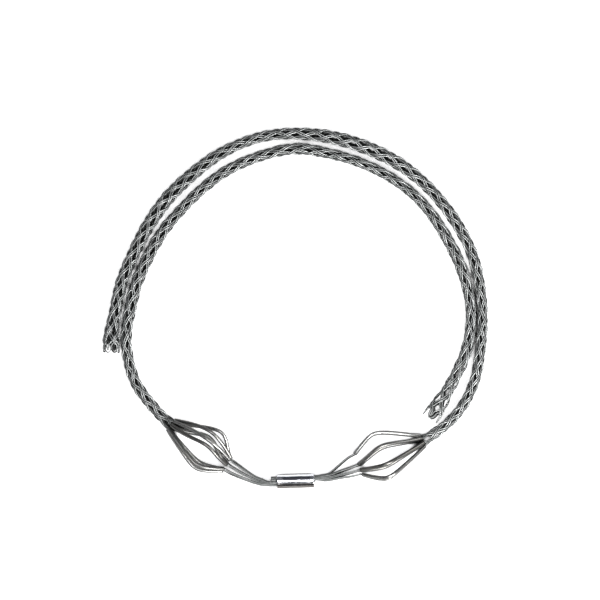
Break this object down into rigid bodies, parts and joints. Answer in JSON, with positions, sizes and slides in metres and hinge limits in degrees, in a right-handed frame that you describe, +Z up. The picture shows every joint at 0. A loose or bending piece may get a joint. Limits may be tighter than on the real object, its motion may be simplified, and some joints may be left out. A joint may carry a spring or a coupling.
{
  "type": "cable pulling grip",
  "caption": "Long woven wire socks, one on each side of a pressed metal ferrule, with bowed steel-sleeved cages between sock and ferrule, lying coiled in a flat ring.",
  "frame": {"origin": "middle of the footprint of the coiled grip, on the surface that it lies on", "axes": "+Z up from the surface; +X along the ferrule towards the right sock's bundle; +Y from the ferrule across the ring to the far side of the coil"},
  "size_m": [0.3852, 0.3606, 0.0323],
  "materials": {
    "wire": "galvanised fine-strand wire rope",
    "sleeve": "bright smooth steel tube",
    "ferrule": "polished, slightly marked by the press"
  },
  "bodies": {
    "root": {"ferrule": "ferrule", "left_sleeve_1": "sleeve", "left_sleeve_2": "sleeve", "left_sleeve_3": "sleeve", "left_sleeve_4": "sleeve", "left_sleeve_5": "sleeve", "left_sleeve_6": "sleeve", "left_sleeve_7": "sleeve", "left_sleeve_8": "sleeve", "right_sleeve_1": "sleeve", "right_sleeve_2": "sleeve", "right_sleeve_3": "sleeve", "right_sleeve_4": "sleeve", "right_sleeve_5": "sleeve", "right_sleeve_6": "sleeve", "right_sleeve_7": "sleeve", "right_sleeve_8": "sleeve", "left_strand_1": "wire", "left_strand_2": "wire", "left_strand_3": "wire", "left_strand_4": "wire", "right_strand_1": "wire", "right_strand_2": "wire", "right_strand_3": "wire", "right_strand_4": "wire", "left_leg_1": "wire", "left_leg_2": "wire", "left_leg_3": "wire", "left_leg_4": "wire", "left_leg_5": "wire", "left_leg_6": "wire", "left_leg_7": "wire", "left_leg_8": "wire", "right_leg_1": "wire", "right_leg_2": "wire", "right_leg_3": "wire", "right_leg_4": "wire", "right_leg_5": "wire", "right_leg_6": "wire", "right_leg_7": "wire", "right_leg_8": "wire"}
  },
  "joints": []
}
